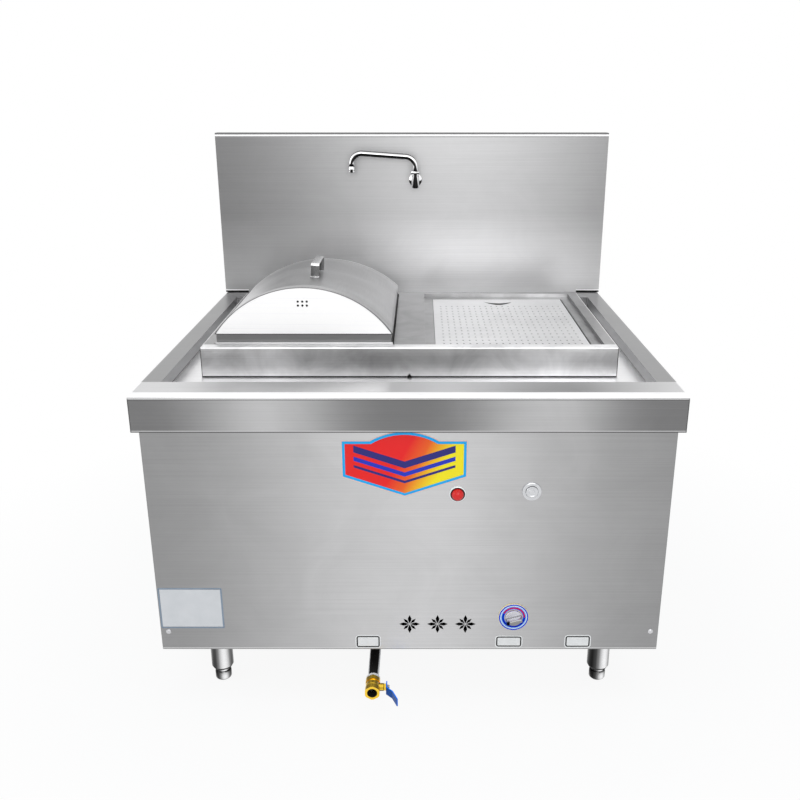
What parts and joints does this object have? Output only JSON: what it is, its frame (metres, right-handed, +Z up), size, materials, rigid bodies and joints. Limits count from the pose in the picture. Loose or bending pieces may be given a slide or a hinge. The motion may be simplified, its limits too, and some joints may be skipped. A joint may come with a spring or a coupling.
{
  "type": "rice noodle roll steamer",
  "caption": "Gas-fired stainless floor steamer with sunken basin, raised platform with perforated wells, lift-off arched lid, back-splash with swing tap and drain valve.",
  "frame": {"origin": "on the floor, in the middle of the box the whole machine fills", "axes": "+Z up, front towards -Y, +X to the right as seen from the front"},
  "size_m": [1.2, 1.137, 1.289],
  "materials": {
    "stainless": "brushed",
    "steam_plate": "satin, perforated",
    "tank_steel": "mill finish",
    "frame_steel": "grey primer",
    "leg_steel": "satin",
    "black_plastic": "matt",
    "foot_steel": "satin",
    "screw_steel": "bright",
    "burner_iron": "rough",
    "cast_aluminium": "cast",
    "gas_pipe": "galvanised",
    "water_pipe": "satin",
    "controller_plastic": "matt",
    "ceramic": "glazed ceramic",
    "button_black": "gloss",
    "button_red": "gloss",
    "button_metal": "satin chrome",
    "dial_blue": "printed gloss",
    "knob_metal": "satin",
    "tap_chrome": "polished",
    "brass": "machined",
    "lever_blue": "dipped vinyl"
  },
  "bodies": {
    "cabinet": {"worktop": "stainless", "backsplash": "stainless", "steam_platform": "stainless", "front_panel": "stainless", "rear_panel": "stainless", "right_side_panel": "stainless", "left_side_panel": "stainless", "steam_tank": "tank_steel", "burner_shroud": "tank_steel", "flue_duct": "tank_steel", "bottom_panel": "tank_steel", "corner_posts": "frame_steel", "frame_rails": "frame_steel", "rail_brackets": "frame_steel", "burner_bars": "frame_steel", "leg_tubes": "leg_steel", "leg_collars": "black_plastic", "panel_screws": "screw_steel", "burner": "burner_iron", "gas_valve_body": "cast_aluminium", "gas_feed_pipe": "gas_pipe", "gas_inlet_pipe": "gas_pipe", "water_inlet_pipe": "water_pipe", "drain_pipe": "water_pipe", "control_box": "controller_plastic", "igniter": "ceramic", "red_button_bezel": "button_black", "power_button_bezel": "button_metal", "knob_ring": "dial_blue", "tap_body": "tap_chrome", "tap_flange": "tap_chrome", "tap_back_nut": "tap_chrome", "tap_nut": "tap_chrome", "drain_valve_body": "brass", "drain_valve_gland": "brass"},
    "lid": {"lid_skirt": "stainless", "lid_shell": "stainless", "lid_front_plate": "stainless", "lid_back_plate": "stainless", "lid_grip": "stainless"},
    "plate_left": {"perforated_plate_left": "steam_plate"},
    "plate_right": {"perforated_plate_right": "steam_plate"},
    "spout": {"spout_tube": "tap_chrome", "spout_nozzle": "tap_chrome"},
    "knob": {"gas_knob": "knob_metal"},
    "red_button": {"red_button_cap": "button_red"},
    "power_button": {"power_button_cap": "button_metal"},
    "drain_lever": {"drain_valve_ball": "brass", "drain_valve_lever": "lever_blue", "drain_lever_nut": "brass"},
    "foot_front_left": {"foot_front_left": "foot_steel"},
    "foot_front_right": {"foot_front_right": "foot_steel"},
    "foot_rear_left": {"foot_rear_left": "foot_steel"},
    "foot_rear_right": {"foot_rear_right": "foot_steel"}
  },
  "joints": [
    {"name": "lid_lift", "type": "slide", "parent": "cabinet", "child": "lid", "axis": [0, 0, 1], "range_m": [0, 0.2]},
    {"name": "plate_left_lift", "type": "slide", "parent": "cabinet", "child": "plate_left", "axis": [0, 0, 1], "range_m": [0, 0.04]},
    {"name": "plate_right_lift", "type": "slide", "parent": "cabinet", "child": "plate_right", "axis": [0, 0, 1], "range_m": [0, 0.04]},
    {"name": "spout_swivel", "type": "hinge", "parent": "cabinet", "child": "spout", "pos_m": [0.0105, 0.4835, 1.17], "axis": [0, 0, 1], "range_deg": [0, 180]},
    {"name": "gas_knob_turn", "type": "hinge", "parent": "cabinet", "child": "knob", "pos_m": [0.244, -0.4685, 0.243], "axis": [0, 1, 0], "range_deg": [0, 270]},
    {"name": "red_button_press", "type": "slide", "parent": "cabinet", "child": "red_button", "axis": [0, 1, 0], "range_m": [0, 0.002], "stiffness_N_per_m": 800},
    {"name": "power_button_press", "type": "slide", "parent": "cabinet", "child": "power_button", "axis": [0, 1, 0], "range_m": [0, 0.002], "stiffness_N_per_m": 800},
    {"name": "drain_valve_turn", "type": "hinge", "parent": "cabinet", "child": "drain_lever", "pos_m": [-0.087, -0.5115, 0.079], "axis": [-1, 0, 0], "range_deg": [0, 90]},
    {"name": "foot_front_left_screw", "type": "slide", "parent": "cabinet", "child": "foot_front_left", "axis": [0, 0, -1], "range_m": [0, 0.02]},
    {"name": "foot_front_right_screw", "type": "slide", "parent": "cabinet", "child": "foot_front_right", "axis": [0, 0, -1], "range_m": [0, 0.02]},
    {"name": "foot_rear_left_screw", "type": "slide", "parent": "cabinet", "child": "foot_rear_left", "axis": [0, 0, -1], "range_m": [0, 0.02]},
    {"name": "foot_rear_right_screw", "type": "slide", "parent": "cabinet", "child": "foot_rear_right", "axis": [0, 0, -1], "range_m": [0, 0.02]}
  ]
}
